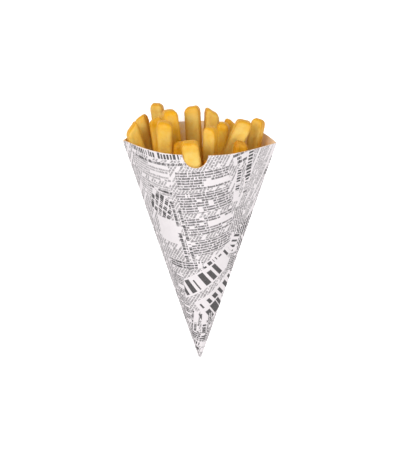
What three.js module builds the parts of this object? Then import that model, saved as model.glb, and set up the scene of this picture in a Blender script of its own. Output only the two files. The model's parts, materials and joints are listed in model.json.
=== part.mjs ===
// A paper cone of chipped potato fries, lying on its back panel as it comes to rest.
// Millimetres, +Z up. The whole part is first laid out in the cone's own axes: x across the mouth,
// y from the front panel to the back panel, z up the axis from the point where the walls would meet.
// The last lines lay the cone down on the flat strip of its back panel, with the mouth towards +Y.
import * as THREE from "three";

// Paper cone
const slantLength = 180; // from the point to the rim, along the middle of the back panel
const halfWidth = 56; // axis to a side crease, in the section at full height
const frontBulge = 44.5; // axis to the middle of the front panel, in the same section
const frontRoundness = 2.46; // power of the front curve: 2 is a parabola, more is flatter
const backBulge = 43.5;
const backRoundness = 2.1;
const restStripWidth = 20; // flat strip up the middle of the back panel, at the rim
const wallThickness = 0.4;
const tipHeight = 2.2; // where the point is pinched off, above the meeting of the walls
const notchWidth = 18; // thumb notch in the front rim
const notchDepth = 10.4;
const seamWidth = 12; // glued flap that wraps the left crease on to the back panel
const seamSlope = 7; // how far the flap's free corner is cut below the rim
const panelSteps = 20; // straight steps from the middle of a panel to a crease
const notchSteps = 12;
const wallRows = 4; // rows of faces from the point to the rim
const leastStep = 1; // places round the section that lie closer than this share one place
const flapStep = 0.5; // width of the slope at the flap's free edge, at the rim

// Fries
const fryWidth = 9.7; // across the wider cut faces of an average fry
const fryThickness = 9;
const fryLength = 67;
const edgeRadius = 1.5; // rounding of the long edges and the cut ends
const seatGap = 0.3; // room left between pieces that rest on each other

// Packing of the fries
const settlePasses = 420; // passes that draw each fry to its place
const loosenPasses = 260; // last passes, which only push touching pieces apart
const drawTop = 0.25; // share of the way that a held fry's top goes back to its place in a pass
const drawFootAcross = 0.12; // the same for its foot, sideways
const drawFootBehind = 0.03; // and from front to back
const sinkStep = 0.12; // how far a loose fry sinks in a pass
const heldYield = 0.15; // share of a push that a held fry takes from a loose one
const seatStep = 0.1; // how far a fry slides or tips at a time in the last seating
const stray = 4; // how far the ends of unseen fries stand above or below their rows
const leastCross = 1e-4; // squared sine under which two edges count as parallel
const leastSpread = 1e-3; // the same for the middle lines of two fries

// The fries that show over the rim. across and behind place the middle of the upper end as shares of the way
// from the axis to a crease and to the front panel, above is its height over the rim in mm, lean is the
// sideways tilt in degrees (upper end to the right is positive), turn is the roll about its own length, slant
// is the slope of the upper cut (positive falls to the right), and wide, deep and long are shares of the
// average cut.
const shownFries = [
  { across: -0.88, behind: -0.09, above: 10, lean: -15, turn: 20, slant: -38, wide: 1, deep: 1, long: 0.76 },
  { across: -0.77, behind: 0.36, above: 12, lean: -9, turn: -8, slant: -20, wide: 0.92, deep: 1, long: 0.8 },
  { across: -0.61, behind: 0.13, above: 12, lean: -4, turn: 6, slant: -14, wide: 1, deep: 1, long: 0.9 },
  { across: -0.62, behind: 0.4, above: 19, lean: -3, turn: -4, slant: 8, wide: 0.92, deep: 1, long: 1 },
  { across: -0.39, behind: -0.18, above: 22, lean: -7, turn: 18, slant: 5, wide: 1.06, deep: 1, long: 1.1 },
  { across: -0.39, behind: -0.58, above: 19, lean: -2, turn: 4, slant: 10, wide: 1.1, deep: 1, long: 1.05 },
  { across: -0.2, behind: -0.67, above: 5, lean: 4, turn: 10, slant: -10, wide: 0.9, deep: 1, long: 0.8 },
  { across: -0.11, behind: 0.2, above: 20, lean: -3, turn: -5, slant: -8, wide: 1.1, deep: 1, long: 1.05 },
  { across: -0.09, behind: -0.85, above: 10, lean: -12, turn: 8, slant: 4, wide: 1.25, deep: 1, long: 1 },
  { across: 0.16, behind: -0.45, above: 13, lean: -2, turn: -15, slant: 10, wide: 0.9, deep: 1, long: 0.9 },
  { across: 0.16, behind: 0.29, above: 18, lean: 3, turn: 12, slant: 30, wide: 1.05, deep: 1, long: 1.05 },
  { across: 0.29, behind: 0, above: 10, lean: 2, turn: -6, slant: 6, wide: 0.88, deep: 1, long: 0.9 },
  { across: 0.39, behind: 0.4, above: 9, lean: 4, turn: 38, slant: 35, wide: 0.9, deep: 0.9, long: 0.87 },
  { across: 0.59, behind: -0.11, above: 15, lean: 24, turn: 5, slant: -6, wide: 1.15, deep: 1, long: 1.12 },
  { across: 0.75, behind: 0.2, above: 12, lean: 11, turn: -18, slant: 5, wide: 0.92, deep: 1, long: 1 },
  { across: 0.55, behind: -0.4, above: 3, lean: 8, turn: 12, slant: 12, wide: 0.95, deep: 1, long: 0.85 },
  { across: 0.12, behind: -0.76, above: -7, lean: -6, turn: 15, slant: 8, wide: 0.95, deep: 1, long: 0.75 },
];

// Fries that stand below the rim on the back panel, behind the ones that show: their places across as shares
// of the way to a crease, and their length as a share.
const backRow = { places: [-0.3, 0, 0.3, 0.6], below: 17, long: 0.8 };

// The fries deeper down, as rings round the axis: how many at most, how far below the rim their upper ends
// are, and how far out, as a share of the wall's distance there. A ring holds no more than stand side by side
// in the cone at their feet.
const looseRings = [
  { most: 3, below: 43, reach: 0.4, long: 0.8 },
  { most: 3, below: 71, reach: 0.45, long: 0.85 },
  { most: 2, below: 105, reach: 0.3, long: 0.6 },
];

// Colours
const paperColour = 0xeae5e8;
const fryColours = [0xe9bd62, 0xe3b04e, 0xefca78];

const apexAngle = Math.asin(backBulge / slantLength); // between the axis and the back panel
const sectionHeight = slantLength * Math.cos(apexAngle);
const innerShift = wallThickness / Math.sin(apexAngle); // the inner wall is the outer one moved up by this

// One side of the cone's section at full height: how far it bulges at x, and how steeply that falls.
function panel(bulge, roundness, flat) {
  const reach = halfWidth - flat;
  return (x) => {
    const share = Math.max(Math.abs(x) - flat, 0) / reach;
    const rise = bulge * (1 - share ** roundness);
    const slope = (-Math.sign(x) * bulge * roundness * share ** (roundness - 1)) / reach;
    return { rise, slope };
  };
}
const frontPanel = panel(frontBulge, frontRoundness, 0);
const backPanel = panel(backBulge, backRoundness, restStripWidth / 2);

// A closed geometry skinned over rings of points that each go round anticlockwise seen from the last ring,
// with both end rings filled. Rings may share points: faces that close up to nothing are left out.
function loft(rings) {
  const positions = [];
  const known = new Map();
  const perMillimetre = 1e4; // points that round to the same ten-thousandth of a millimetre are one
  const indexOf = (point) => {
    const key = point.toArray().map((value) => Math.round(value * perMillimetre)).join();
    if (!known.has(key)) {
      known.set(key, positions.length / 3);
      positions.push(point.x, point.y, point.z);
    }
    return known.get(key);
  };
  const faces = [];
  const addFace = (a, b, c) => {
    if (a !== b && b !== c && c !== a) faces.push(a, b, c);
  };
  const indexed = rings.map((ring) => ring.map(indexOf));
  const count = rings[0].length;
  for (let row = 0; row + 1 < rings.length; row++) {
    for (let i = 0; i < count; i++) {
      const next = (i + 1) % count;
      const [low, high] = [indexed[row], indexed[row + 1]];
      addFace(low[i], low[next], high[next]);
      addFace(low[i], high[next], high[i]);
    }
  }
  const fill = (ring, indices, up) => {
    const middle = ring.reduce((sum, point) => sum.add(point), new THREE.Vector3()).divideScalar(count);
    const centre = indexOf(middle);
    for (let i = 0; i < count; i++) {
      const next = (i + 1) % count;
      if (up) addFace(centre, indices[i], indices[next]);
      else addFace(centre, indices[next], indices[i]);
    }
  };
  fill(rings[0], indexed[0], false);
  fill(rings.at(-1), indexed.at(-1), true);
  const geometry = new THREE.BufferGeometry();
  geometry.setAttribute("position", new THREE.Float32BufferAttribute(positions, 3));
  geometry.setIndex(faces);
  return geometry;
}

// How far the thumb notch cuts down the front panel at x: a half circle stretched to its depth.
function notchCut(x) {
  const share = (2 * x) / notchWidth;
  return Math.abs(share) < 1 ? notchDepth * Math.sqrt(1 - share * share) : 0;
}

// The places round the section, from the left crease over the front panel and back over the back panel.
// cut is how far the rim lies below the slant length, lift is 1 where the glued flap adds a layer, and
// flapCut is how far that layer's end lies below the rim.
function sectionStations() {
  const notchHalf = notchWidth / 2;
  const notchXs = [];
  for (let i = 0; i <= notchSteps; i++) notchXs.push(-notchHalf * Math.cos((Math.PI * i) / notchSteps));
  const sideXs = [];
  for (let i = 1; i < panelSteps; i++) sideXs.push((halfWidth * i) / panelSteps);
  const outsideNotch = sideXs.filter((x) => x > notchHalf + leastStep);
  const frontXs = [...outsideNotch.map((x) => -x).reverse(), ...notchXs, ...outsideNotch];
  const front = frontXs.map((x) => ({ x, y: -frontPanel(x).rise, cut: notchCut(x), lift: 0, flapCut: 0 }));
  const flapEdge = flapEdgeX();
  const stripHalf = restStripWidth / 2;
  const plainXs = sideXs.filter((x) => Math.abs(x - stripHalf) > leastStep);
  const backXs = [...plainXs, stripHalf, 0, -stripHalf, ...plainXs.map((x) => -x)];
  const clearOfEdge = backXs.filter((x) => Math.abs(x - flapEdge) > leastStep).sort((a, b) => b - a);
  const back = [];
  const addBack = (x, lift) => {
    const flapCut = lift ? (seamSlope * (x + halfWidth)) / (flapEdge + halfWidth) : 0;
    back.push({ x, y: backPanel(x).rise, cut: 0, lift, flapCut });
  };
  clearOfEdge.filter((x) => x > flapEdge).forEach((x) => addBack(x, 0));
  addBack(flapEdge + flapStep, 0);
  addBack(flapEdge, 1);
  clearOfEdge.filter((x) => x < flapEdge).forEach((x) => addBack(x, 1));
  const leftCrease = { x: -halfWidth, y: 0, cut: 0, lift: 1, flapCut: 0 };
  const rightCrease = { x: halfWidth, y: 0, cut: 0, lift: 0, flapCut: 0 };
  return [leftCrease, ...front, rightCrease, ...back];
}

// Where the flap's free edge lies, found by walking its width from the left crease along the back panel.
function flapEdgeX() {
  const step = 0.05;
  let x = -halfWidth;
  for (let walked = 0; walked < seamWidth; x += step) walked += step * Math.hypot(1, backPanel(x).slope);
  return x;
}

// The folded sheet: the outer wall from the point to the rim, the rim, and the inner wall down to a floor
// one layer above the pinched point.
function paperCone() {
  const stations = sectionStations().map((station) => {
    const along = new THREE.Vector3(station.x, station.y, sectionHeight).normalize();
    return { ...station, along, rim: slantLength - station.cut };
  });
  const pointAt = (station, slant, shift) =>
    station.along.clone().multiplyScalar(slant).add(new THREE.Vector3(0, 0, shift));
  const rings = [];
  for (let row = 0; row <= wallRows; row++) {
    rings.push(
      stations.map((station) => {
        const shift = -station.lift * innerShift;
        const lowest = (tipHeight - shift) / station.along.z;
        const highest = station.rim - station.flapCut;
        return pointAt(station, THREE.MathUtils.lerp(lowest, highest, row / wallRows), shift);
      }),
    );
  }
  rings.push(stations.map((station) => pointAt(station, station.rim - station.flapCut, 0)));
  rings.push(stations.map((station) => pointAt(station, station.rim, 0)));
  for (let row = wallRows; row >= 0; row--) {
    rings.push(
      stations.map((station) => {
        const lowest = tipHeight / station.along.z;
        const highest = station.rim - innerShift * station.along.z;
        return pointAt(station, THREE.MathUtils.lerp(lowest, highest, row / wallRows), innerShift);
      }),
    );
  }
  return loft(rings);
}

// A fry as it is packed: a stiff bar between its foot and its top, with its cut and roll. A held fry keeps
// near its place, and a loose one gives way and sinks.
class Fry {
  constructor(place) {
    this.halfWidth = (fryWidth * place.wide) / 2;
    this.halfDepth = (fryThickness * place.deep) / 2;
    this.length = fryLength * place.long;
    this.turn = THREE.MathUtils.degToRad(place.turn);
    this.slant = THREE.MathUtils.degToRad(place.slant);
    this.held = place.held;
    this.top = place.top;
    const lean = THREE.MathUtils.degToRad(place.lean);
    const drop = this.length * Math.cos(lean);
    const inward = (this.top.y * drop) / this.top.z;
    this.foot = this.top.clone().sub(new THREE.Vector3(this.length * Math.sin(lean), inward, drop));
    this.keepLength(0.5);
    this.wantedTop = this.top.clone();
    this.wantedFoot = this.foot.clone();
  }

  // Puts the ends back to the fry's length, with topShare of the move at the top.
  keepLength(topShare) {
    const along = this.top.clone().sub(this.foot);
    const excess = along.length() - this.length;
    along.normalize();
    this.top.addScaledVector(along, -excess * topShare);
    this.foot.addScaledVector(along, excess * (1 - topShare));
  }

  // Its unit axes (across the width, across the depth, along), middle, and half sizes inside the rounding.
  frame() {
    const along = this.top.clone().sub(this.foot).normalize();
    const level = new THREE.Vector3(Math.cos(this.turn), Math.sin(this.turn), 0);
    const across = level.addScaledVector(along, -level.dot(along)).normalize();
    const deep = along.clone().cross(across);
    this.axes = [across, deep, along];
    this.middle = this.top.clone().add(this.foot).multiplyScalar(0.5);
    this.core = [this.halfWidth, this.halfDepth, this.length / 2].map((half) => half - edgeRadius);
  }

  // Moves the point at share of the way from the foot to the top by a vector, as a stiff bar takes it.
  push(share, direction, amount) {
    const scale = amount / (share * share + (1 - share) * (1 - share));
    this.top.addScaledVector(direction, share * scale);
    this.foot.addScaledVector(direction, (1 - share) * scale);
  }

  // The corner of the rounded bar's core at the chosen side of each axis.
  corner(sideX, sideY, sideZ) {
    return this.middle
      .clone()
      .addScaledVector(this.axes[0], sideX * this.core[0])
      .addScaledVector(this.axes[1], sideY * this.core[1])
      .addScaledVector(this.axes[2], sideZ * this.core[2]);
  }
}

// The widest gap between two bars along a face normal of either or square to an edge of both, with the
// direction from the first to the second. It is negative where they overlap.
function separation(first, second) {
  const between = second.middle.clone().sub(first.middle);
  const directions = [...first.axes, ...second.axes];
  for (const a of first.axes) {
    for (const b of second.axes) {
      const square = a.clone().cross(b);
      if (square.lengthSq() > leastCross) directions.push(square.normalize());
    }
  }
  let best = { gap: -Infinity, direction: null };
  for (const direction of directions) {
    const distance = between.dot(direction);
    let reach = 2 * edgeRadius;
    for (let i = 0; i < 3; i++) {
      reach += first.core[i] * Math.abs(first.axes[i].dot(direction));
      reach += second.core[i] * Math.abs(second.axes[i].dot(direction));
    }
    const gap = Math.abs(distance) - reach;
    if (gap > best.gap) best = { gap, direction: direction.clone().multiplyScalar(Math.sign(distance) || 1) };
  }
  return best;
}

// How far along each bar, as a share from its foot, the middle lines of two bars come nearest.
function nearestShares(first, second) {
  const a = first.top.clone().sub(first.foot);
  const b = second.top.clone().sub(second.foot);
  const start = first.foot.clone().sub(second.foot);
  const [aa, ab, bb] = [a.dot(a), a.dot(b), b.dot(b)];
  const spread = aa * bb - ab * ab;
  let onFirst = spread > leastSpread * aa * bb ? (ab * start.dot(b) - bb * start.dot(a)) / spread : 0.5;
  onFirst = THREE.MathUtils.clamp(onFirst, 0, 1);
  const onSecond = THREE.MathUtils.clamp((ab * onFirst + start.dot(b)) / bb, 0, 1);
  onFirst = THREE.MathUtils.clamp((ab * onSecond - start.dot(a)) / aa, 0, 1);
  return [onFirst, onSecond];
}

// Whether two fries are near enough to meet, by the lengths that their middles lie apart.
function near(first, second) {
  return first.middle.distanceTo(second.middle) < (first.length + second.length) / 2 + fryWidth;
}

// Pushes two fries apart to the seat gap, where their middle lines are nearest.
function partFries(first, second) {
  if (!near(first, second)) return;
  const { gap, direction } = separation(first, second);
  if (gap >= seatGap) return;
  const [onFirst, onSecond] = nearestShares(first, second);
  const firstYields = first.held === second.held ? 0.5 : first.held ? heldYield : 1 - heldYield;
  first.push(onFirst, direction, (gap - seatGap) * firstYields);
  second.push(onSecond, direction, (seatGap - gap) * (1 - firstYields));
}

// The gap from a point inside the cone to one panel's inner wall, with the direction away from that wall.
function wallGap(point, shape, side) {
  const height = Math.max(point.z - innerShift, 1);
  const { rise, slope } = shape((point.x * sectionHeight) / height);
  const inward = new THREE.Vector3(slope, -side, 0);
  inward.z = (rise - (slope * point.x * sectionHeight) / height) / sectionHeight;
  const room = (rise * height) / sectionHeight - side * point.y;
  const steepness = inward.length();
  return { gap: room / steepness, direction: inward.divideScalar(steepness) };
}

// The places where a fry could meet the paper up to the rim, or the table beyond it: how far along the fry
// from its foot, the gap there, and the direction away.
function wallContacts(fry) {
  const tableUp = new THREE.Vector3(0, -Math.cos(apexAngle), Math.sin(apexAngle));
  const contacts = [];
  for (const [sideX, sideY] of [[-1, -1], [1, -1], [1, 1], [-1, 1]]) {
    const low = fry.corner(sideX, sideY, -1);
    const high = fry.corner(sideX, sideY, 1);
    const toRim = (slantLength - low.length()) / (high.length() - low.length());
    for (const share of [0, THREE.MathUtils.clamp(toRim, 0, 1)]) {
      const point = low.clone().lerp(high, share);
      for (const [shape, side] of [[frontPanel, -1], [backPanel, 1]]) {
        const { gap, direction } = wallGap(point, shape, side);
        contacts.push({ share, gap: gap - edgeRadius, direction });
      }
    }
    contacts.push({ share: 1, gap: high.dot(tableUp) - edgeRadius, direction: tableUp });
  }
  return contacts;
}

// Pushes a fry back from the paper and the table, where it comes too near.
function keepInside(fry) {
  for (const { share, gap, direction } of wallContacts(fry)) {
    if (gap < seatGap) fry.push(share, direction, seatGap - gap);
  }
}

// Whether a fry has at least this much room to every other fry and to the paper.
function hasRoom(fry, fries, room) {
  const meetsFry = fries.some((other) => other !== fry && near(fry, other) && separation(fry, other).gap < room);
  return !meetsFry && wallContacts(fry).every(({ gap }) => gap >= room);
}

// Slides a fry out along its own length while it touches anything. One that then touches nothing tips its
// foot back, which is down once the cone lies on its back panel, until it meets what is under it.
function seat(fry, fries) {
  const touching = seatGap / 3;
  for (let slid = 0; slid < slantLength && !hasRoom(fry, fries, touching); slid += seatStep) {
    fry.top.addScaledVector(fry.axes[2], seatStep);
    fry.foot.addScaledVector(fry.axes[2], seatStep);
    fry.frame();
  }
  const lastFoot = fry.foot.clone();
  for (let tipped = 0; tipped < backBulge && hasRoom(fry, fries, seatGap); tipped += seatStep) {
    lastFoot.copy(fry.foot);
    fry.foot.y += seatStep;
    fry.keepLength(0);
    fry.frame();
  }
  fry.foot.copy(lastFoot);
  fry.frame();
}

// Packs the fries: held ones are drawn to their places and loose ones down the cone, while every two
// that meet push each other apart and the paper holds them in.
function settle(fries) {
  const down = new THREE.Vector3(0, 0, -1);
  for (let pass = 0; pass < settlePasses + loosenPasses; pass++) {
    for (const fry of fries) {
      if (pass < settlePasses && fry.held) {
        fry.top.lerp(fry.wantedTop, drawTop);
        fry.foot.x = THREE.MathUtils.lerp(fry.foot.x, fry.wantedFoot.x, drawFootAcross);
        fry.foot.y = THREE.MathUtils.lerp(fry.foot.y, fry.wantedFoot.y, drawFootBehind);
      } else if (pass < settlePasses) {
        fry.push(0.5, down, sinkStep);
      }
      fry.keepLength(0.5);
      fry.frame();
    }
    for (let i = 0; i < fries.length; i++) {
      for (let j = i + 1; j < fries.length; j++) {
        partFries(fries[i], fries[j]);
      }
    }
    for (const fry of fries) {
      fry.keepLength(0.5);
      fry.frame();
      keepInside(fry);
    }
  }
  for (const fry of fries) {
    fry.keepLength(0.5);
    fry.frame();
  }
  for (const fry of fries) seat(fry, fries);
}

// The places of the fries that show, from their shares of the mouth.
function shownPlaces() {
  return shownFries.map((place) => ({
    ...place,
    top: new THREE.Vector3(place.across * halfWidth, place.behind * frontBulge, sectionHeight + place.above),
  }));
}

// The places of the back row, each against the back panel and leaning as the cone does.
function backRowPlaces() {
  const height = sectionHeight - backRow.below;
  const narrowing = height / sectionHeight;
  return backRow.places.map((place, i) => {
    const across = place * halfWidth;
    const behind = backPanel(across / narrowing).rise * narrowing - fryThickness;
    return {
      top: new THREE.Vector3(across, behind, height + stray * Math.sin(9 * i)),
      lean: THREE.MathUtils.radToDeg(Math.atan2(across, height)),
      turn: across / 2,
      slant: 15 * Math.cos(4 * i),
      wide: 1,
      deep: 1,
      long: backRow.long,
    };
  });
}

// How many average fries could stand side by side inside the cone at a height, with the section taken as
// a full ellipse.
function roomAt(height) {
  const share = Math.max(height - innerShift, 0) / sectionHeight;
  const area = (Math.PI / 2) * halfWidth * share * (frontBulge + backBulge) * share;
  return Math.floor(area / (fryWidth * fryThickness));
}

// The places of the loose fries, spread round the axis ring by ring, with some variety in their cuts.
function loosePlaces() {
  const places = [];
  looseRings.forEach(({ most, below, reach, long }, ring) => {
    const height = sectionHeight - below;
    const count = Math.min(most, roomAt(height - fryLength * long));
    const spread = (reach * height) / sectionHeight;
    for (let i = 0; i < count; i++) {
      const bearing = (2 * Math.PI * (i + ring / 2)) / count;
      const across = halfWidth * spread * Math.cos(bearing);
      const behind = frontBulge * spread * Math.sin(bearing);
      const variety = Math.sin(7 * places.length);
      places.push({
        top: new THREE.Vector3(across, behind, height + stray * variety),
        lean: THREE.MathUtils.radToDeg(Math.atan2(across, height)),
        turn: 40 * variety,
        slant: 20 * variety,
        wide: 1 + 0.06 * variety,
        deep: 0.96,
        long: long * (1 + 0.08 * Math.cos(5 * places.length)),
      });
    }
  });
  return places;
}

// One fry as a solid: a square bar with rounded long edges, bevelled ends and a slanting upper cut.
function fryGeometry(fry) {
  const outline = (inset) => {
    const points = [];
    const radius = edgeRadius - inset / 2;
    for (const [sideX, sideY, start] of [[1, 1, 0], [-1, 1, 90], [-1, -1, 180], [1, -1, 270]]) {
      for (const angle of [start, start + 45, start + 90]) {
        const radians = THREE.MathUtils.degToRad(angle);
        const x = sideX * (fry.halfWidth - inset - radius) + radius * Math.cos(radians);
        const y = sideY * (fry.halfDepth - inset - radius) + radius * Math.sin(radians);
        points.push(new THREE.Vector2(x, y));
      }
    }
    return points;
  };
  const half = fry.length / 2;
  const slope = Math.tan(fry.slant);
  const ring = (inset, height, tilt) =>
    outline(inset).map((point) => {
      const drop = tilt * (Math.abs(slope) * fry.halfWidth + slope * point.x);
      return fry.middle
        .clone()
        .addScaledVector(fry.axes[0], point.x)
        .addScaledVector(fry.axes[1], point.y)
        .addScaledVector(fry.axes[2], height - drop);
    });
  return loft([
    ring(edgeRadius, -half, 0),
    ring(0, -half + edgeRadius, 0),
    ring(0, 0, 0),
    ring(0, half - edgeRadius, 1),
    ring(edgeRadius, half, 1),
  ]);
}

// All fries, packed: first the ones that show, then the back row, then the loose ones.
function buildFries() {
  const held = [...shownPlaces(), ...backRowPlaces()].map((place) => new Fry({ ...place, held: true }));
  const loose = loosePlaces().map((place) => new Fry({ ...place, held: false }));
  const fries = [...held, ...loose];
  settle(fries);
  return fries;
}

const part = new THREE.Group();
const cone = new THREE.Group();
part.add(cone);

const paper = new THREE.Mesh(
  paperCone(),
  new THREE.MeshStandardMaterial({ color: paperColour, roughness: 0.75, metalness: 0 }),
);
paper.name = "paper_cone";
cone.add(paper);

buildFries().forEach((fry, i) => {
  const colour = fryColours[i % fryColours.length];
  const mesh = new THREE.Mesh(
    fryGeometry(fry),
    new THREE.MeshStandardMaterial({ color: colour, roughness: 0.5, metalness: 0 }),
  );
  mesh.name = `fry_${String(i + 1).padStart(2, "0")}`;
  cone.add(mesh);
});

// Lie the cone down: the back panel's flat strip turns into the plane z = 0. The origin then goes under the
// middle of the whole part.
cone.rotation.x = apexAngle - Math.PI / 2;
const middle = new THREE.Box3().setFromObject(part, true).getCenter(new THREE.Vector3());
cone.position.set(-middle.x, -middle.y, 0);

export default part;
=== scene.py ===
import json
import math

import bpy
import numpy as np
from mathutils import Matrix, Vector, noise

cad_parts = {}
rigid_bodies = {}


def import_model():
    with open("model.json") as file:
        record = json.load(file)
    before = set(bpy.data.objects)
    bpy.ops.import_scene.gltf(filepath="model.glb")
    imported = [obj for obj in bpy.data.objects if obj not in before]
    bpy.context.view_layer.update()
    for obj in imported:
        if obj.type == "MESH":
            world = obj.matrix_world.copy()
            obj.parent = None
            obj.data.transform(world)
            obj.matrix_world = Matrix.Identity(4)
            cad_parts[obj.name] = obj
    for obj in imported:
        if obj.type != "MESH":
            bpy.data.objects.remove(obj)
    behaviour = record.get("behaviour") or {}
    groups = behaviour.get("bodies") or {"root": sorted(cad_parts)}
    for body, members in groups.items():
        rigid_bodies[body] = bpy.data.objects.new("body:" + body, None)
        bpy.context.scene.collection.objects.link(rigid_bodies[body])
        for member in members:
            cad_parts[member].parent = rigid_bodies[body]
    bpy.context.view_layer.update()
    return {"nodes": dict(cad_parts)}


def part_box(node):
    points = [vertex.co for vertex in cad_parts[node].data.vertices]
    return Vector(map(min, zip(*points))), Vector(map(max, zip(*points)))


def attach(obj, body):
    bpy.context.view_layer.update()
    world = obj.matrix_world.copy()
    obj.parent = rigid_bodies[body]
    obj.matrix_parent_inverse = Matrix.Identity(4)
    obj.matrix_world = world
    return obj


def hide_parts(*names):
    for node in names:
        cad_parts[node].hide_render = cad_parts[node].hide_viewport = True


# Sizes of the paper cone in millimetres, as the CAD source has them
SLANT = 180.0
HALF_WIDTH = 56.0
FRONT_BULGE = 44.5
FRONT_ROUNDNESS = 2.46
BACK_BULGE = 43.5
BACK_ROUNDNESS = 2.1
STRIP_HALF = 10.0
WALL = 0.4
TIP_HEIGHT = 2.2
NOTCH_HALF = 9.0
NOTCH_DEPTH = 10.4
SEAM_WIDTH = 12.0
SEAM_SLOPE = 7.0
SEAM_STEP = 0.5
APEX_ANGLE = math.asin(BACK_BULGE / SLANT)
HEIGHT = SLANT * math.cos(APEX_ANGLE)
INNER_SHIFT = WALL / math.sin(APEX_ANGLE)

MM = 0.001

# The sheet's mesh: how fine it is, and what keeps its lines apart
PANEL_STEPS = 44
NOTCH_STEPS = 36
WALL_ROWS = 84
FLAP_SEARCH_STEPS = 4000
CREASE_CROWDING = 0.25  # how much closer the places round the section lie near the creases
NOTCH_CLEARANCE = 0.5  # mm from the notch's corners to the next place round the section
MARK_CLEARANCE = 0.4  # mm from the edges of the flap and of the flat strip to the next place
FLOOR_CLEARANCE = 0.02  # mm between the sheet and the floor
SHARP_ANGLE = 38  # degrees, from which a fold in the sheet shades as an edge

# The sheet's soft waves: the share of each, the mm across and up that turn it by a radian, and its start
PAPER_WAVE = 0.3  # mm, the most that the sheet bulges out of its plain shape
BACK_WAVE = 0.25  # share of that on the back panel, which the cone lies on
SHEET_WAVES = [(0.5, 13, 31, 0.7), (0.3, 7.3, -19, 2.1), (0.2, 4.1, 8.7, 0)]

# Fries: the grid that their skin is built from, how often it is softened, and their shape, in mm
SHOWN_COUNT = 17  # the first fries, which show over the rim
SHOWN_GRID = 0.62
HIDDEN_GRID = 1.3
SHOWN_SOFTENING = 14
HIDDEN_SOFTENING = 2
SOFTENING_STEP = 0.5  # share of the way to the middle of its neighbours that a place goes each time
SQUARE_LIMIT = 0.3  # cosine under which two faces of a CAD fry count as square to each other
PLUMP = 0.2  # added all round, for what the softening takes away
SINK = 0.28  # how far the middle of a face lies below its edges
BUMPS = 0.34  # height of the uneven crust
BLISTERS = 0.16
END_TAPER = 6.0  # how far from its ends a fry starts to narrow
END_SHARE = 0.16  # how much it narrows there
SWAY = 0.3  # the most that a fry bends out of a straight line
SWAY_TURN = 1.9  # radians by which the sway of two fries in a row differs
END_FACE_TURN = (0.45, 0.85)  # how far a place faces along the fry where its end begins, and is whole
OPEN_FACE = (0.3, 0.85)  # shares of half its width from its edge where a face begins to sink, and is deepest
BLISTER_RISE = (0.32, 0.6)  # noise at which a blister begins, and stands up whole

# Crust noise: the size of its features in mm, what a step along the fry counts, what is added to the seed
COARSE_CRUST = (4.6, 0.45, 0)
FINE_CRUST = (1.25, 0.7, 40)
BLISTER_CRUST = (2.4, 0.6, 80)
COARSE_SHARE = 0.7  # of the bumps, with the fine crust making up the rest
SEED_STEPS = (17.3, 5.9, -11.1)  # how far apart the noise of two seeds is read

# Tones of the fries: what makes a place paler or browner, how much at the most, and where
HIDDEN_TONE = 0.3  # of the upper faces of the fries that don't show, kept low as painted shade deep in the cone
SIDE_SHARE = 0.4  # share of the upper face's tone that the other sides have, so that they are darker as painted shade
SIDE_VARIETY = 0.1  # the most that this differs from fry to fry
SIDE_TURN = 2.3  # radians by which it differs between two fries in a row
PALER = {"coarse": 0.15, "end_face": -0.35, "near_end": -0.4}
# Of these, the browning of the sides that don't face up is painted shade
BROWNER = {"crusty_edge": 0.5, "end_face": 0.3, "near_end": 0.2, "aside": 0.3, "blister": 0.12}
EDGE_CRUST = 0.4  # share of the browning at the edges that comes and goes with the crust
DEEP_FRIED_AND_SHADED = 0.35  # added to how brown the darkest fries are: painted shade, where they lie deep among the others, as well as darker frying
DARK_FRY_TONE_BELOW = 0.25  # the tone under which a fry counts as one of those
FACE_UP = (0.3, 0.85)  # how far a place faces the upper side's way where that side begins, and is whole
EDGE_BROWNING = (0.2, 2.3)  # mm from an edge where its browning begins to fade, and ends
END_BROWNING = (1.0, 7.5)  # mm from a fry's end where its browning begins to fade, and ends
END_WAVER = 1.5  # mm that these limits wander

# How pale the upper face of each fry that shows is, from 0 golden brown to 1 pale. The low tones of fries 7,
# 16 and 17 hold painted shade, where they lie deep among the others, as well as darker frying.
FACE_TONES = {
    1: 0.65,
    2: 0.75,
    3: 0.3,
    4: 0.85,
    5: 0.25,
    6: 0.55,
    7: 0.05,
    8: 0.75,
    9: 0.85,
    10: 0.75,
    11: 0.85,
    12: 0.35,
    13: 0.4,
    14: 0.9,
    15: 0.7,
    16: 0.1,
    17: 0.2,
}

# Camera, from the fit of the cone's outline: millimetres and degrees in the cone's own axes
CAMERA_ELEVATION = 20.43
CAMERA_TURN = 4.06
CAMERA_ROLL = -0.135
CAMERA_DISTANCE = 1103.0
CAMERA_TARGET_HEIGHT = 90.0
CAMERA_LENS = 118.16
CAMERA_SENSOR = 36
CAMERA_SHIFT_Y = 0.0425

# Surroundings: metres and watts
FLOOR_SIZE = 6
FLOOR_GREY = 0.82
FLOOR_ROUGHNESS = 0.9
FLOOR_GLOW = 0.5  # what the floor adds for the camera alone, so that it shows white
SKY_LIGHT = 0.63  # strength of the even light from all round, which the camera sees as plain white
LAMP_TARGET = (0, 0.02, 0.03)
LAMPS = [
    # name, place, size, power
    ("key", (-0.55, 0.35, 0.9), 0.6, 6.2),
    ("fill", (0.6, -0.25, 0.8), 0.6, 4.1),
]

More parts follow.
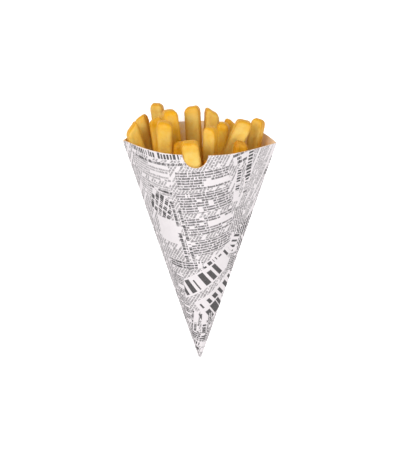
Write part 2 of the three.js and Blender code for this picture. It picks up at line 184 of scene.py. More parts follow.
# Mock print, in shares of the pitch between its lines unless another unit is given
STROKE_PITCH = 0.42
STROKE_HALF = 0.28  # least half width of a stroke, as a share of the pitch between strokes
STROKE_VARIETY = 0.35  # what the widest has added to that
TALL_FROM = 0.72  # a stroke whose random number is above this is a tall one
LINE_FOOT = 0.1
LINE_TOP = 0.76
TALL_RISE = 0.14
TIE_LEVEL = 0.2  # the lower place of the thin ties between strokes
TIE_RISE = 0.44  # how much higher the upper one is
TIE_HALF = 0.055
TIED_BELOW = 3.0  # mm, the pitch under which strokes are tied
WORD_STROKES = 5.5  # strokes to a word and its gap
WORD_GAP = 0.16  # share of that which is left blank
WORD_WANDER = 0.3  # how much the lengths of words vary
WANDER_RATE = 0.7  # radians per stroke
WORD_SHIFT = 3.0  # words, the most that the words of a line are shifted by
SHORT_LINE_FROM = 0.84  # a line whose random number is above this ends half way
MIDDLE_ROW = 200.5  # added to a place counted in lines from a patch's middle, so that none is below zero
TIE_DRAW = 4.5  # these three keep the random numbers for different uses apart
START_DRAW = 7.5
SHORT_DRAW = 3.5

# Patches of print on the flat sheet, painted one over the other. Millimetres: across from the middle of the
# front panel, up from the point; half sizes; the angle of the lines in degrees; the pitch of the lines;
# how heavy the strokes are and how dark the ink is.
PATCHES = [
    # across, up, half width, half height, angle, pitch, weight, ink
    (-66, 118, 60, 8, -68, 1.9, 0.9, 0.4),
    (-38, 160, 19, 7.4, 9, 2.1, 0.9, 0.6),
    (-35, 142, 17, 7.4, 8, 2.1, 0.9, 0.6),
    (-36, 173.5, 26, 3.0, 11, 6.0, 0.7, 1.0),
    (-30, 168.2, 30, 1.5, 11, 3.0, 0.8, 1.0),
    (5, 160, 19, 7.4, 7, 2.1, 1.05, 0.88),
    (6, 141.5, 19, 8.4, 8, 2.1, 1.1, 0.88),
    (8, 122, 19, 7.4, 9, 2.1, 1.05, 0.88),
    (9, 104, 17, 6.3, 10, 2.1, 1.1, 0.88),
    (-29, 132, 10, 10, 76, 4.4, 0.9, 1.0),
    (-28, 145.5, 11, 1.2, 4, 2.4, 0.9, 1.0),
    (-24, 112, 9.5, 10, 8, 50, 0.0, 0.0),
    (-12, 110, 28, 1.7, 103, 3.4, 0.95, 1.0),
    (-7.5, 112, 22, 1.6, 103, 3.2, 0.9, 1.0),
    (34, 173, 7, 5, 4, 3.3, 1.0, 1.0),
    (31, 150, 14, 2.6, 84, 5.2, 0.8, 1.0),
    (41, 158, 18, 3.3, 84, 6.6, 0.7, 1.0),
    (56, 160, 25, 5, 50, 1.8, 0.95, 0.6),
    (66, 150, 25, 3, 52, 5.0, 0.75, 0.8),
    (73, 140, 24, 8, 42, 1.9, 0.9, 0.55),
    (47, 129, 20, 6.5, 50, 1.7, 1.0, 0.65),
    (34, 118, 12, 6.3, 82, 2.1, 1.0, 0.8),
    (43, 101, 11, 12, -66, 1.9, 1.1, 1.0),
    (29, 98, 8, 5.2, 60, 10.4, 0.55, 1.0),
    (16, 90, 13, 5.5, 34, 11.0, 0.6, 1.0),
    (-10, 86, 14, 3.2, 8, 2.1, 1.0, 1.0),
    (2, 73, 27, 7.5, 34, 15.0, 0.6, 1.0),
    (16, 58, 19, 7.0, 34, 14.0, 0.65, 1.0),
    (11, 44, 12, 7.5, 30, 15.0, 0.75, 1.0),
    (34, 79, 9, 8, -20, 1.7, 1.1, 0.95),
    (-17.5, 62, 6.5, 14, 3, 1.6, 1.0, 0.9),
    (-12, 43, 5.5, 10, 5, 1.6, 1.0, 0.95),
    (-3, 35, 10.5, 3.0, 84, 3.0, 0.95, 1.0),
    (3.5, 33, 9.5, 2.0, 86, 4.0, 1.3, 1.0),
    (8.5, 33, 9.5, 1.8, 86, 1.8, 1.3, 1.0),
    (-1, 22.5, 8, 3.8, -10, 1.9, 1.1, 1.0),
    (0, 15, 6, 2.2, -16, 4.4, 0.9, 1.0),
    (0, 9.5, 5, 1.8, -20, 3.6, 1.0, 1.0),
]

# The print under all patches, in the same order of values
BASE_PATCH = (0, 90, 400, 400, 62, 2.0, 1.0, 0.65)

# Values of noise between which it turns from one tone to another
PLAIN_SPAN = (0.3, 0.7)
WIDE_SPAN = (0.25, 0.75)
NARROW_SPAN = (0.35, 0.65)
SPOT_SPAN = (0.38, 0.6)

# Paper: noise scales per metre, its fibres and mottling, and the grease that it has taken up, into which
# painted golden light from the fries is mixed
MOTTLE_SCALE = 260
FIBRE_SCALE = 1900
SOAK_AND_FRY_GLOW_EDGE_SCALE = 60
SPOT_SCALE = 85
FIBRE_SHARE = 0.05  # the most that the tint of the fibres is mixed in
MOTTLE_SHADE = 0.965  # how bright the darkest mottling is
MOTTLE_RELIEF = 2.0  # how much more of the relief it has than the fibres
INK_WEAR = 0.88  # share of the ink that is left where it is worn most
SOAK_AND_FRY_GLOW_FADE = 9.0  # mm from the rim to where the inside has the full grease and painted fry light
SOAK_AND_FRY_GLOW_WANDER = 6.0  # mm that this limit wanders
SOAK_AND_FRY_GLOW_AT_RIM = 0.65  # share of the full grease and painted fry light at the rim
SOAK_SPOTS = 0.7  # share of the grease and painted fry light that is left between the grease spots
PAPER_ROUGHNESS = 0.78
PAPER_SHEEN = 0.3
PAPER_RELIEF = (0.12, 0.0002)  # strength, and height in metres

# Crust: noise scales per metre, how its tones are mixed, and its gloss
BLOTCH_SCALE = 170
GRAIN_SCALE = 1100
BLOTCH_DEPTH = 0.18  # the most that a blotch makes a place paler or more golden
GRAIN_BROWNING = (0.6, 1.15)  # what the grain multiplies the browning by
BROWN_SHARE = 0.85  # share of brown in a wholly brown place
CRUST_ROUGHNESS = (0.38, 0.56)
CRUST_SHEEN = 0.25
CRUST_RELIEF = (0.35, 0.0004)  # strength, and height in metres
INNER_LIGHT = 0.18  # share of the light that passes under the skin
INNER_REACH = (1.0, 0.45, 0.12)  # how far red, green and blue light go there, as shares of the depth
INNER_DEPTH = 0.0015  # metres

# Colours as linear light
WHITE = (1, 1, 1, 1)
PAPER_TINT = (0.80, 0.752, 0.765, 1)
FIBRE_TINT = (0.6, 0.57, 0.58, 1)
INK_TINT = (0.05, 0.047, 0.048, 1)
# Grease on the inside, which also stands for the golden light that the fries throw on it: painted light
GREASE_AND_FRY_GLOW_TINT = (0.95, 0.58, 0.13, 1)
FRY_PALE = (0.80, 0.565, 0.14, 1)
FRY_GOLDEN = (0.80, 0.425, 0.008, 1)
FRY_BROWN = (0.50, 0.165, 0.003, 1)


def clear_scene():
    """Takes out the cube, lamp and camera that Blender starts with."""
    for item in list(bpy.data.objects):
        bpy.data.objects.remove(item)


def panel_y(x, bulge, roundness, flat):
    """How far a panel bulges at each place across, in the section at full height."""
    share = np.maximum(np.abs(x) - flat, 0) / (HALF_WIDTH - flat)
    return bulge * (1 - share**roundness)


def front_y(x):
    """The front panel's line in that section."""
    return -panel_y(x, FRONT_BULGE, FRONT_ROUNDNESS, 0)


def back_y(x):
    """The back panel's line in that section, with the flat strip in its middle."""
    return panel_y(x, BACK_BULGE, BACK_ROUNDNESS, STRIP_HALF)


def crease_spacing(steps):
    """Places from crease to crease that lie closer together near the creases, where the panels are steep."""
    t = np.linspace(-1, 1, 2 * steps + 1)
    return HALF_WIDTH * ((1 + CREASE_CROWDING) * t - CREASE_CROWDING * t**3)


def flap_edge_x():
    """Where the glued flap's free edge lies on the back panel."""
    x = np.linspace(-HALF_WIDTH, 0, FLAP_SEARCH_STEPS + 1)
    walked = np.concatenate([[0], np.cumsum(np.hypot(np.diff(x), np.diff(back_y(x))))])
    return float(np.interp(SEAM_WIDTH, walked, x))


def section_places(edge):
    """Places across, in order: over the front panel from crease to crease, then back over the back panel."""
    spaced = crease_spacing(PANEL_STEPS)
    outside = spaced[np.abs(spaced) > NOTCH_HALF + NOTCH_CLEARANCE]
    notch = -NOTCH_HALF * np.cos(np.linspace(0, math.pi, NOTCH_STEPS + 1))
    front = np.sort(np.concatenate([outside, notch]))
    plain = spaced[1:-1]
    clear_of_flap = np.abs(plain - edge) > MARK_CLEARANCE
    clear_of_strip = np.abs(np.abs(plain) - STRIP_HALF) > MARK_CLEARANCE
    marks = [edge, edge + SEAM_STEP, STRIP_HALF, -STRIP_HALF]
    back = np.sort(np.concatenate([plain[clear_of_flap & clear_of_strip], marks]))[::-1]
    return front, back


def flat_angles(along, front):
    """The angle that each place has on the sheet laid flat, which is 0 in the middle of the front, and the
    angle of the whole turn."""
    following = np.roll(along, -1, axis=0)
    angles = np.arccos(np.clip((along * following).sum(1), -1, 1))
    theta = np.concatenate([[0], np.cumsum(angles)])
    theta -= np.interp(0, front, theta[: len(front)])
    return theta[:-1], theta[-1] - theta[0]


def stations():
    """What each place round the section has: the unit direction of the wall's line there, the rim's
    distance, the flap's lift and cut, its angle on the flat sheet, and whether it is on the back."""
    edge = flap_edge_x()
    front, back = section_places(edge)
    x = np.concatenate([front, back])
    y = np.concatenate([front_y(front), back_y(back)])
    on_back = np.arange(len(x)) >= len(front)
    lift = ((on_back & (x < edge + SEAM_STEP / 2)) | (np.arange(len(x)) == 0)).astype(float)
    inside_notch = ~on_back & (np.abs(x) < NOTCH_HALF)
    notch_share = np.clip(x / NOTCH_HALF, -1, 1)
    cut = np.where(inside_notch, NOTCH_DEPTH * np.sqrt(1 - notch_share**2), 0)
    flap_cut = np.where(on_back & (lift > 0), SEAM_SLOPE * (x + HALF_WIDTH) / (edge + HALF_WIDTH), 0)
    along = np.stack([x, y, np.full(len(x), HEIGHT)], 1)
    along /= np.linalg.norm(along, axis=1)[:, None]
    theta, whole_turn = flat_angles(along, front)
    return {
        "along": along,
        "rim": SLANT - cut,
        "lift": lift,
        "flap_cut": flap_cut,
        "theta": np.where(on_back & (lift > 0), theta - whole_turn, theta),
        "on_back": on_back,
    }


def sheet_wave(theta, slant):
    """How far the sheet bulges out, in mm: long soft waves that grow towards the rim."""
    across = theta * slant
    wave = 0
    for share, wide, high, start in SHEET_WAVES:
        wave = wave + share * np.sin(across / wide + slant / high + start)
    return PAPER_WAVE * (0.5 + 0.5 * wave) * np.clip(slant / SLANT, 0, 1)


def paper_rings(st):
    """Rings of points round the cone, from the point up the outside and down the inside, each with its slant
    at every place and whether it is on the outside."""
    upward = np.array([0, 0, 1.0])
    rings = []

    def add(slant, shift, outside):
        wave = np.where(st["on_back"], BACK_WAVE, 1.0) * sheet_wave(st["theta"], slant)
        outward = st["along"] * [1, 1, 0]
        outward /= np.linalg.norm(outward, axis=1)[:, None]
        points = st["along"] * slant[:, None] + upward * shift[:, None] + outward * wave[:, None]
        rings.append((points, slant, outside))

    outer_shift = -st["lift"] * INNER_SHIFT
    outer_end = st["rim"] - st["flap_cut"]
    unshifted = np.zeros(len(outer_shift))
    for share in np.linspace(0, 1, WALL_ROWS + 1):
        start = (TIP_HEIGHT - outer_shift) / st["along"][:, 2]
        add(start + (outer_end - start) * share, outer_shift, True)
    add(outer_end, unshifted, False)
    add(st["rim"], unshifted, False)
    inner_end = st["rim"] - INNER_SHIFT * st["along"][:, 2]
    for share in np.linspace(1, 0, WALL_ROWS + 1):
        start = TIP_HEIGHT / st["along"][:, 2]
        add(start + (inner_end - start) * share, unshifted + INNER_SHIFT, False)
    return rings


def lay_down(points):
    """The cone's own axes turned on to its back panel: +Y up the cone, +Z out of the front."""
    sine, cosine = math.sin(APEX_ANGLE), math.cos(APEX_ANGLE)
    x, y, z = points[:, 0], points[:, 1], points[:, 2]
    return np.stack([x, y * sine + z * cosine, -y * cosine + z * sine], 1)


def ring_faces(rings, st):
    """The faces between the rings, with the material slot of each (0 printed, 1 plain) and the places of its
    corners on the flat sheet in mm. The end rings are filled."""
    count = len(st["rim"])
    here = np.arange(count)
    following = (here + 1) % count
    one_layer = (st["lift"] == np.roll(st["lift"], -1)) | (here == 0)
    faces, slots, corners = [], [], []
    for row in range(len(rings) - 1):
        low, high = row * count, (row + 1) * count
        faces.extend(np.stack([low + here, low + following, high + following, high + here], 1).tolist())
        printed = rings[row][2] and rings[row + 1][2]
        slots.extend(np.where(printed & one_layer, 0, 1).tolist())
        quad = []
        for ring, place in ((row, here), (row, following), (row + 1, following), (row + 1, here)):
            slant, theta = rings[ring][1][place], st["theta"][place]
            quad.append(np.stack([slant * np.sin(theta), slant * np.cos(theta)], 1))
        corners.append(np.stack(quad, 1).reshape(-1, 2))
    faces.append(list(range(count))[::-1])
    faces.append([(len(rings) - 1) * count + place for place in range(count)])
    slots.extend([1, 1])
    corners.append(np.zeros((2 * count, 2)))
    return faces, slots, np.concatenate(corners)


def build_paper(materials):
    """Builds the sheet as one closed mesh. Returns where along Y the walls' lines meet, in mm."""
    st = stations()
    rings = paper_rings(st)
    points = lay_down(np.concatenate([ring[0] for ring in rings]))
    points[:, 2] = np.maximum(points[:, 2], FLOOR_CLEARANCE)
    node_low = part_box("paper_cone")[0]
    apex_y = node_low.y / MM - points[:, 1].min()
    points[:, 1] += apex_y
    faces, slots, corners = ring_faces(rings, st)
    mesh = bpy.data.meshes.new("paper_sheet")
    mesh.from_pydata((points * MM).tolist(), [], faces)
    layer = mesh.uv_layers.new(name="flat_mm")
    layer.data.foreach_set("uv", corners.astype(np.float32).ravel())
    for material in materials:
        mesh.materials.append(material)
    mesh.polygons.foreach_set("material_index", np.array(slots, np.int32))
    mesh.polygons.foreach_set("use_smooth", np.ones(len(faces), bool))
    mesh.set_sharp_from_angle(angle=math.radians(SHARP_ANGLE))
    mesh.update()
    piece = bpy.data.objects.new("paper_sheet", mesh)
    bpy.context.scene.collection.objects.link(piece)
    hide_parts("paper_cone")
    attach(piece, "root")
    return apex_y


def fry_axes(mesh):
    """Unit axes of a CAD fry, from its two widest pairs of faces: out of the widest, sideways, along."""
    ranked = sorted(mesh.polygons, key=lambda face: -face.area)
    first = ranked[0].normal.copy()
    second = next(face.normal.copy() for face in ranked if abs(face.normal.dot(first)) < SQUARE_LIMIT)
    along = first.cross(second).normalized()
    second = along.cross(first).normalized()
    return np.array([first, second, along])


def smooth_step(low, high, value):
    """Goes softly from 0 at low to 1 at high."""
    share = np.clip((value - low) / (high - low), 0, 1)
    return share * share * (3 - 2 * share)


def noise_at(points, scale, seed):
    """Soft noise from about -1 to 1 at each point, with features of about the scale in mm."""
    offset = Vector([seed * step for step in SEED_STEPS])
    return np.array([noise.noise(Vector(point) / scale + offset) for point in points])


def crust_noise(local, kind, seed):
    """One kind of crust noise, drawn out along the fry."""
    size, squeeze, seed_step = kind
    return noise_at(local * [1, 1, squeeze], size, seed + seed_step)


def skin_mesh(node, shown):
    """The CAD fry's solid rebuilt on an even grid, with its corners softened."""
    holder = bpy.data.objects.new("skin_source", frame["nodes"][node].data.copy())
    bpy.context.scene.collection.objects.link(holder)
    remesh = holder.modifiers.new("even_grid", "REMESH")
    remesh.mode = "VOXEL"
    remesh.voxel_size = (SHOWN_GRID if shown else HIDDEN_GRID) * MM
    soften = holder.modifiers.new("soften", "SMOOTH")
    soften.factor = SOFTENING_STEP
    soften.iterations = SHOWN_SOFTENING if shown else HIDDEN_SOFTENING
    evaluated = holder.evaluated_get(bpy.context.evaluated_depsgraph_get())
    mesh = bpy.data.meshes.new_from_object(evaluated)
    bpy.data.objects.remove(holder)
    return mesh


def read_vertices(mesh):
    """The places of a mesh's vertices in mm, and their normals."""
    places = np.empty(len(mesh.vertices) * 3)
    normals = np.empty(len(mesh.vertices) * 3)
    mesh.vertices.foreach_get("co", places)
    mesh.vertices.foreach_get("normal", normals)
    return places.reshape(-1, 3) / MM, normals.reshape(-1, 3)


def shape_fry(mesh, axes, seed):
    """Gives the even skin its sunken faces, crust, blisters, taper and sway, and stores its tones."""
    places, normals = read_vertices(mesh)
    middle = (places.min(0) + places.max(0)) / 2
    local = (places - middle) @ axes.T
    low, high = local.min(0), local.max(0)
    inset = np.minimum(local - low, high - local)
    half = (high - low)[:2] / 2
    end_face = smooth_step(*END_FACE_TURN, np.abs((normals @ axes.T)[:, 2]))
    side = 1 - end_face
    open_face = smooth_step(*OPEN_FACE, np.maximum(inset[:, 0] / half[0], inset[:, 1] / half[1]))
    coarse = crust_noise(local, COARSE_CRUST, seed)
    fine = crust_noise(local, FINE_CRUST, seed)
    blister = smooth_step(*BLISTER_RISE, crust_noise(local, BLISTER_CRUST, seed)) * side
    push = PLUMP + BUMPS * (COARSE_SHARE * coarse + (1 - COARSE_SHARE) * fine) + BLISTERS * blister
    push -= SINK * open_face * side
    to_end = 1 - smooth_step(0, END_TAPER, inset[:, 2])
    narrowed = local.copy()
    narrowed[:, :2] *= (1 - END_SHARE * to_end**2)[:, None]
    along_share = (local[:, 2] - low[2]) / (high[2] - low[2])
    narrowed[:, 1] += SWAY * np.sin(math.pi * along_share) * math.sin(seed * SWAY_TURN)
    moved = narrowed @ axes + middle + normals * push[:, None]
    mesh.vertices.foreach_set("co", (moved * MM).ravel())

    # The side of the fry that faces up, towards the lamps, which gets the painted light
    upper = max((sign * axis for axis in axes[:2] for sign in (1, -1)), key=lambda axis: axis[2])
    face_up = smooth_step(*FACE_UP, normals @ upper)
    near_edge = 1 - smooth_step(*EDGE_BROWNING, np.maximum(inset[:, 0], inset[:, 1]))
    wavering = inset[:, 2] + END_WAVER * np.sin(local[:, 0] + seed)
    skin = {
        "face_up": face_up,
        # the sides that don't face up, which get painted shade
        "aside": (1 - face_up) * side,
        "crusty_edge": near_edge * (1 - EDGE_CRUST + EDGE_CRUST * coarse),
        "near_end": 1 - smooth_step(*END_BROWNING, wavering),
        "end_face": end_face,
        "coarse": coarse,
        "blister": blister,
    }
    for name, values in fry_tones(skin, seed).items():
        attribute = mesh.attributes.new(name, "FLOAT", "POINT")
        attribute.data.foreach_set("value", values.astype(np.float32))
    mesh.polygons.foreach_set("use_smooth", np.ones(len(mesh.polygons), bool))
    mesh.update()


def fry_tones(skin, seed):
    """How pale and how brown each place of a fry is, from 0 to 1, with painted light on the upper face, and
    painted shade on the other sides and on the darkest fries.
    """
    front_tone = FACE_TONES.get(seed, HIDDEN_TONE)
    side_tone = SIDE_SHARE * front_tone + SIDE_VARIETY * math.sin(seed * SIDE_TURN)
    # The upper face, towards the lamps, has the fry's own tone as painted light, and the other sides a darker
    # one as painted shade
    pale = front_tone * skin["face_up"] + side_tone * (1 - skin["face_up"])
    for name, weight in PALER.items():
        pale = pale + weight * skin[name]
    # Painted shade, with darker frying, on the darkest fries
    brown = DEEP_FRIED_AND_SHADED if front_tone < DARK_FRY_TONE_BELOW else 0
    for name, weight in BROWNER.items():
        brown = brown + weight * skin[name]
    return {"pale": np.clip(pale, 0, 1), "brown": np.clip(brown, 0, 1)}


def build_fries(material):
    """Builds each fry's skin from its CAD solid, with its number as its seed."""
    names = sorted(name for name in frame["nodes"] if name.startswith("fry_"))
    for seed, name in enumerate(names, start=1):
        mesh = skin_mesh(name, shown=seed <= SHOWN_COUNT)
        shape_fry(mesh, fry_axes(frame["nodes"][name].data), seed)
        mesh.materials.clear()
        mesh.materials.append(material)
        piece = bpy.data.objects.new(f"crisp_{name}", mesh)
        bpy.context.scene.collection.objects.link(piece)
        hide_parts(name)
        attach(piece, "root")


class Nodes:
    """Short ways to add and link shader nodes in one tree."""

    def __init__(self, tree):
        self.tree = tree

    def add(self, kind, **settings):
        """A new node with the settings given."""
        node = self.tree.nodes.new(kind)
        for name, value in settings.items():
            setattr(node, name, value)
        return node

    def feed(self, socket, value):
        """Links an output to the socket, or sets a constant on it."""
        if isinstance(value, bpy.types.NodeSocket):
            self.tree.links.new(value, socket)
        else:
            socket.default_value = value

    def math(self, operation, *values, clamp=False):
        node = self.add("ShaderNodeMath", operation=operation, use_clamp=clamp)
        for socket, value in zip(node.inputs, values):
            self.feed(socket, value)
        return node.outputs[0]

    def step(self, value, low, high, to_low=0.0, to_high=1.0):
        """Goes softly from to_low at low to to_high at high."""
        node = self.add("ShaderNodeMapRange", interpolation_type="SMOOTHSTEP")
        for socket, number in zip(node.inputs, (value, low, high, to_low, to_high)):
            self.feed(socket, number)
        return node.outputs[0]

    def noise(self, vector, scale, detail=3.0, roughness=0.6):
        node = self.add("ShaderNodeTexNoise")
        self.feed(node.inputs["Vector"], vector)
        self.feed(node.inputs["Scale"], scale)
        self.feed(node.inputs["Detail"], detail)
        self.feed(node.inputs["Roughness"], roughness)
        return node.outputs["Fac"]

    def mix(self, factor, first, second):
        """A colour that goes from the first at 0 to the second at 1, as the next two do with vectors and
        numbers."""
        node = self.add("ShaderNodeMix", data_type="RGBA")
        self.feed(node.inputs["Factor"], factor)
        self.feed(node.inputs[6], first)
        self.feed(node.inputs[7], second)
        return node.outputs[2]

    def mix_vector(self, factor, first, second):
        node = self.add("ShaderNodeMix", data_type="VECTOR")
        self.feed(node.inputs[0], factor)
        self.feed(node.inputs[4], first)
        self.feed(node.inputs[5], second)
        return node.outputs[1]

    def mix_number(self, factor, first, second):
        node = self.add("ShaderNodeMix", data_type="FLOAT")
        self.feed(node.inputs[0], factor)
        self.feed(node.inputs[2], first)
        self.feed(node.inputs[3], second)
        return node.outputs[0]

    def find(self, kind):
        """The first node of a kind that the tree already has."""
        return next(node for node in self.tree.nodes if node.type == kind)

    def vector(self, operation, *values):
        node = self.add("ShaderNodeVectorMath", operation=operation)
        for socket, value in zip(node.inputs, values):
            self.feed(socket, value)
        return node.outputs[0]

    def bump(self, height, strength, distance):
        node = self.add("ShaderNodeBump")
        self.feed(node.inputs["Strength"], strength)
        self.feed(node.inputs["Distance"], distance)
        self.feed(node.inputs["Height"], height)
        return node.outputs[0]

    def split(self, vector):
        node = self.add("ShaderNodeSeparateXYZ")
        self.feed(node.inputs[0], vector)
        return node.outputs

    def random(self, x, y, z):
        """An even random number from three numbers."""
        vector = self.add("ShaderNodeCombineXYZ")
        for socket, value in zip(vector.inputs, (x, y, z)):
            self.feed(socket, value)
        white = self.add("ShaderNodeTexWhiteNoise", noise_dimensions="3D")
        self.feed(white.inputs["Vector"], vector.outputs[0])
        return white.outputs["Value"]


def choose_patch(nodes, place):
    """Walks through the patches and keeps, for each point of the sheet, the values of the last one that it
    lies in: its place in the patch with the patch's seed, then the pitch, weight and ink, then half the
    patch's width."""
    where, look, reach = None, None, None
    for seed, patch in enumerate([BASE_PATCH] + PATCHES):
        across, up, half_width, half_height, angle, pitch, weight, ink = patch
        turned = nodes.add("ShaderNodeMapping", vector_type="TEXTURE")
        nodes.feed(turned.inputs["Vector"], place)
        nodes.feed(turned.inputs["Location"], (across, up, -seed))
        nodes.feed(turned.inputs["Rotation"], (0, 0, math.radians(angle)))
        local = turned.outputs[0]
        if where is None:
            where, look, reach = local, (pitch, weight, ink), half_width
            continue
        sides = nodes.vector("ABSOLUTE", local)
        past_side, past_end, _ = nodes.split(nodes.vector("SUBTRACT", sides, (half_width, half_height, 0)))
        inside = nodes.math("LESS_THAN", nodes.math("MAXIMUM", past_side, past_end), 0.0)
        where = nodes.mix_vector(inside, where, local)
        look = nodes.mix_vector(inside, look, (pitch, weight, ink))
        reach = nodes.mix_number(inside, reach, half_width)
    return where, look, reach


def text_strokes(nodes, stroke_place, row, row_share, pitch, weight, seed):
    """Upright strokes in random widths and two heights, joined by thin ties where the print is small."""
    stroke = nodes.math("FLOOR", stroke_place)
    chance = nodes.random(stroke, row, seed)
    half = nodes.math("MULTIPLY", nodes.math("MULTIPLY_ADD", chance, STROKE_VARIETY, STROKE_HALF), weight)
    off_middle = nodes.math("ABSOLUTE", nodes.math("SUBTRACT", nodes.math("FRACT", stroke_place), 0.5))
    mark = nodes.math("LESS_THAN", off_middle, half)

    upper_tie = nodes.math("GREATER_THAN", nodes.random(stroke, row, nodes.math("ADD", seed, TIE_DRAW)), 0.5)
    off_tie = nodes.math("SUBTRACT", row_share, nodes.math("MULTIPLY_ADD", upper_tie, TIE_RISE, TIE_LEVEL))
    tie = nodes.math("LESS_THAN", nodes.math("ABSOLUTE", off_tie), TIE_HALF)
    tied = nodes.math("MULTIPLY", tie, nodes.math("LESS_THAN", pitch, TIED_BELOW))
    mark = nodes.math("MAXIMUM", mark, tied)

    tall = nodes.math("GREATER_THAN", chance, TALL_FROM)
    above_foot = nodes.math("GREATER_THAN", row_share, LINE_FOOT)
    below_top = nodes.math("LESS_THAN", row_share, nodes.math("MULTIPLY_ADD", tall, TALL_RISE, LINE_TOP))
    return nodes.math("MULTIPLY", nodes.math("MULTIPLY", mark, above_foot), below_top)


def text_extent(nodes, along, stroke_place, row, reach, seed):
    """Where a line of print has words: 0 in the gaps between them and past the line's end."""
    row_start = nodes.math("MULTIPLY", nodes.random(row, seed, START_DRAW), WORD_SHIFT)
    wander = nodes.math("SINE", nodes.math("MULTIPLY", stroke_place, WANDER_RATE))
    shift = nodes.math("ADD", row_start, nodes.math("MULTIPLY", wander, WORD_WANDER))
    word_place = nodes.math("ADD", nodes.math("DIVIDE", stroke_place, WORD_STROKES), shift)
    in_word = nodes.math("GREATER_THAN", nodes.math("FRACT", word_place), WORD_GAP)
    short_line = nodes.math("GREATER_THAN", nodes.random(row, seed, SHORT_DRAW), SHORT_LINE_FROM)
    line_end = nodes.math("SUBTRACT", reach, nodes.math("MULTIPLY", short_line, reach))
    return nodes.math("MULTIPLY", in_word, nodes.math("LESS_THAN", along, line_end))


def print_group():
    """A shader group: mock newsprint on the flat sheet, in turned patches of short bars in word lengths."""
    tree = bpy.data.node_groups.new("mock_newsprint", "ShaderNodeTree")
    tree.interface.new_socket("Ink", in_out="OUTPUT", socket_type="NodeSocketFloat")
    nodes = Nodes(tree)
    place = nodes.add("ShaderNodeUVMap", uv_map="flat_mm").outputs[0]
    where, look, reach = choose_patch(nodes, place)
    along, rise, seed = nodes.split(where)
    pitch, weight, ink = nodes.split(look)
    row_place = nodes.math("ADD", nodes.math("DIVIDE", rise, pitch), MIDDLE_ROW)
    row = nodes.math("FLOOR", row_place)
    row_share = nodes.math("FRACT", row_place)
    stroke_place = nodes.math("DIVIDE", along, nodes.math("MULTIPLY", pitch, STROKE_PITCH))
    strokes = text_strokes(nodes, stroke_place, row, row_share, pitch, weight, seed)
    extent = text_extent(nodes, along, stroke_place, row, reach, seed)
    result = nodes.add("NodeGroupOutput")
    nodes.feed(result.inputs[0], nodes.math("MULTIPLY", nodes.math("MULTIPLY", strokes, extent), ink))
    return tree


def new_material(name):
    """A material with its node helper and its main shader."""
    material = bpy.data.materials.new(name)
    material.use_nodes = True
    nodes = Nodes(material.node_tree)
    return material, nodes, nodes.find("BSDF_PRINCIPLED")


def paper_material(name, group, print_strength, grease_and_fry_glow):
    """Uncoated paper with soft fibre mottling, print on it as strong as given, and grease from the fries,
    mixed with painted golden light that the fries throw on the inside.
    """
    material, nodes, surface = new_material(name)
    place = nodes.add("ShaderNodeTexCoord").outputs["Object"]
    mottle = nodes.noise(place, MOTTLE_SCALE)
    fibres = nodes.noise(place, FIBRE_SCALE, detail=2.0)
    blank = nodes.add("ShaderNodeHueSaturation")
    fibrous = nodes.mix(nodes.step(fibres, *PLAIN_SPAN, 0.0, FIBRE_SHARE), PAPER_TINT, FIBRE_TINT)
    nodes.feed(blank.inputs["Color"], fibrous)
    nodes.feed(blank.inputs["Value"], nodes.step(mottle, *PLAIN_SPAN, MOTTLE_SHADE, 1.0))

    slant = nodes.add("ShaderNodeVectorMath", operation="LENGTH")
    nodes.feed(slant.inputs[0], nodes.add("ShaderNodeUVMap", uv_map="flat_mm").outputs[0])
    edge_noise = nodes.noise(place, SOAK_AND_FRY_GLOW_EDGE_SCALE)
    uneven = nodes.step(edge_noise, *NARROW_SPAN, -SOAK_AND_FRY_GLOW_WANDER, SOAK_AND_FRY_GLOW_WANDER)
    past_rim = nodes.math("SUBTRACT", nodes.math("ADD", slant.outputs["Value"], uneven), SLANT)
    # Grease stain with painted golden light from the fries, fullest deep inside and less at the rim
    soak_and_fry_glow = nodes.step(past_rim, -SOAK_AND_FRY_GLOW_FADE, 0.0, grease_and_fry_glow, SOAK_AND_FRY_GLOW_AT_RIM * grease_and_fry_glow)
    spots = nodes.noise(place, SPOT_SCALE, detail=4.0, roughness=0.65)
    spotted = nodes.step(spots, *SPOT_SPAN, SOAK_SPOTS, 1.0)
    sheet = nodes.mix(nodes.math("MULTIPLY", soak_and_fry_glow, spotted), blank.outputs[0], GREASE_AND_FRY_GLOW_TINT)

    newsprint = nodes.add("ShaderNodeGroup", node_tree=group)
    ink = nodes.math("MULTIPLY", newsprint.outputs[0], print_strength)
    worn = nodes.math("MULTIPLY", ink, nodes.step(fibres, *WIDE_SPAN, INK_WEAR, 1.0))
    nodes.feed(surface.inputs["Base Color"], nodes.mix(worn, sheet, INK_TINT))
    nodes.feed(surface.inputs["Roughness"], PAPER_ROUGHNESS)
    nodes.feed(surface.inputs["Specular IOR Level"], PAPER_SHEEN)
    relief = nodes.math("ADD", fibres, nodes.math("MULTIPLY", mottle, MOTTLE_RELIEF))
    nodes.feed(surface.inputs["Normal"], nodes.bump(relief, *PAPER_RELIEF))
    return material


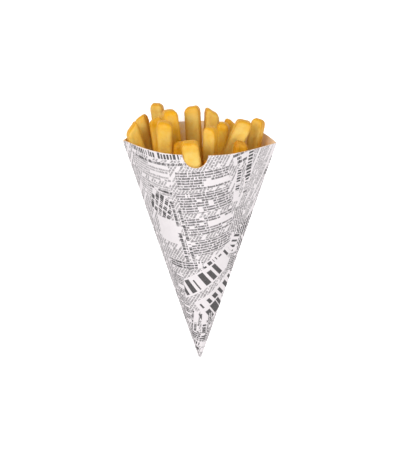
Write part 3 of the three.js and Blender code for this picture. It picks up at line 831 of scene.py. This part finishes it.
def fry_material():
    """Fried potato: pale to golden faces, browner edges and ends, painted light on the upper faces and
    painted shade on the sides and the darkest fries, and a thin gloss of oil.
    """
    material, nodes, surface = new_material("fried_potato")
    place = nodes.add("ShaderNodeTexCoord").outputs["Object"]
    pale = nodes.add("ShaderNodeAttribute", attribute_name="pale").outputs["Fac"]
    brown = nodes.add("ShaderNodeAttribute", attribute_name="brown").outputs["Fac"]
    blotches = nodes.noise(place, BLOTCH_SCALE)
    grain = nodes.noise(place, GRAIN_SCALE)
    pale = nodes.math("ADD", pale, nodes.step(blotches, *PLAIN_SPAN, -BLOTCH_DEPTH, BLOTCH_DEPTH), clamp=True)
    colour = nodes.mix(pale, FRY_GOLDEN, FRY_PALE)
    brown = nodes.math("MULTIPLY", brown, nodes.step(grain, *WIDE_SPAN, *GRAIN_BROWNING))
    colour = nodes.mix(nodes.math("MULTIPLY", brown, BROWN_SHARE), colour, FRY_BROWN)
    nodes.feed(surface.inputs["Base Color"], colour)
    nodes.feed(surface.inputs["Subsurface Weight"], INNER_LIGHT)
    nodes.feed(surface.inputs["Subsurface Radius"], INNER_REACH)
    nodes.feed(surface.inputs["Subsurface Scale"], INNER_DEPTH)
    nodes.feed(surface.inputs["Roughness"], nodes.step(blotches, *PLAIN_SPAN, *CRUST_ROUGHNESS))
    nodes.feed(surface.inputs["Specular IOR Level"], CRUST_SHEEN)
    nodes.feed(surface.inputs["Normal"], nodes.bump(grain, *CRUST_RELIEF))
    return material


def cone_direction(x, y, z):
    """A direction in the cone's own axes, turned as lay_down turns its points."""
    return Vector(lay_down(np.array([[x, y, z]], float))[0])


def build_camera(apex_y):
    """The camera of the photograph, placed from the fit in the cone's own axes."""
    elevation = math.radians(CAMERA_ELEVATION)
    turn = math.radians(CAMERA_TURN)
    level_x, level_y = -math.sin(turn), math.cos(turn)
    flat, steep = math.cos(elevation), math.sin(elevation)
    forward = cone_direction(level_x * flat, level_y * flat, -steep)
    upward = cone_direction(level_x * steep, level_y * steep, flat)
    right = forward.cross(upward)
    target = cone_direction(0, 0, CAMERA_TARGET_HEIGHT) + Vector((0, apex_y, 0))
    data = bpy.data.cameras.new("camera")
    data.lens = CAMERA_LENS
    data.sensor_width = CAMERA_SENSOR
    data.shift_y = CAMERA_SHIFT_Y
    camera = bpy.data.objects.new("camera", data)
    bpy.context.scene.collection.objects.link(camera)
    turned = Matrix((right, upward, -forward)).transposed().to_4x4()
    roll = Matrix.Rotation(math.radians(CAMERA_ROLL), 4, "Z")
    place = Matrix.Translation((target - forward * CAMERA_DISTANCE) * MM)
    camera.matrix_world = place @ turned @ roll
    bpy.context.scene.camera = camera


def add_area_light(name, place, size, power):
    """A round soft lamp that points at the part."""
    data = bpy.data.lights.new(name, "AREA")
    data.shape = "DISK"
    data.size = size
    data.energy = power
    lamp = bpy.data.objects.new(name, data)
    bpy.context.scene.collection.objects.link(lamp)
    lamp.location = place
    lamp.rotation_euler = (Vector(LAMP_TARGET) - Vector(place)).to_track_quat("-Z", "Y").to_euler()


def build_floor():
    """A white floor that keeps the part's shadow."""
    bpy.ops.mesh.primitive_plane_add(size=FLOOR_SIZE, location=(0, 0, 0))
    floor = bpy.context.object
    floor.name = "floor"
    material, nodes, surface = new_material("white_floor")
    nodes.feed(surface.inputs["Base Color"], (FLOOR_GREY, FLOOR_GREY, FLOOR_GREY, 1))
    nodes.feed(surface.inputs["Roughness"], FLOOR_ROUGHNESS)
    glow = nodes.add("ShaderNodeEmission")
    nodes.feed(glow.inputs["Color"], WHITE)
    seen = nodes.add("ShaderNodeLightPath").outputs["Is Camera Ray"]
    nodes.feed(glow.inputs["Strength"], nodes.math("MULTIPLY", seen, FLOOR_GLOW))
    both = nodes.add("ShaderNodeAddShader")
    nodes.feed(both.inputs[0], surface.outputs[0])
    nodes.feed(both.inputs[1], glow.outputs[0])
    nodes.feed(nodes.find("OUTPUT_MATERIAL").inputs["Surface"], both.outputs[0])
    floor.data.materials.append(material)


def build_sky():
    """Even light from all round, with plain white behind everything for the camera."""
    world = bpy.data.worlds.new("soft_sky")
    bpy.context.scene.world = world
    world.use_nodes = True
    nodes = Nodes(world.node_tree)
    background = nodes.find("BACKGROUND")
    seen = nodes.add("ShaderNodeLightPath").outputs["Is Camera Ray"]
    nodes.feed(background.inputs["Color"], WHITE)
    nodes.feed(background.inputs["Strength"], nodes.mix_number(seen, SKY_LIGHT, 1.0))


clear_scene()
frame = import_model()
newsprint = print_group()
printed = paper_material("printed_paper", newsprint, print_strength=1.0, grease_and_fry_glow=0.0)
plain = paper_material("plain_paper", newsprint, print_strength=0.1, grease_and_fry_glow=0.9)
apex_y = build_paper([printed, plain])
build_fries(fry_material())
build_camera(apex_y)
build_floor()
build_sky()
for name, place, size, power in LAMPS:
    add_area_light(name, place, size, power)
bpy.context.scene.view_settings.view_transform = "Standard"
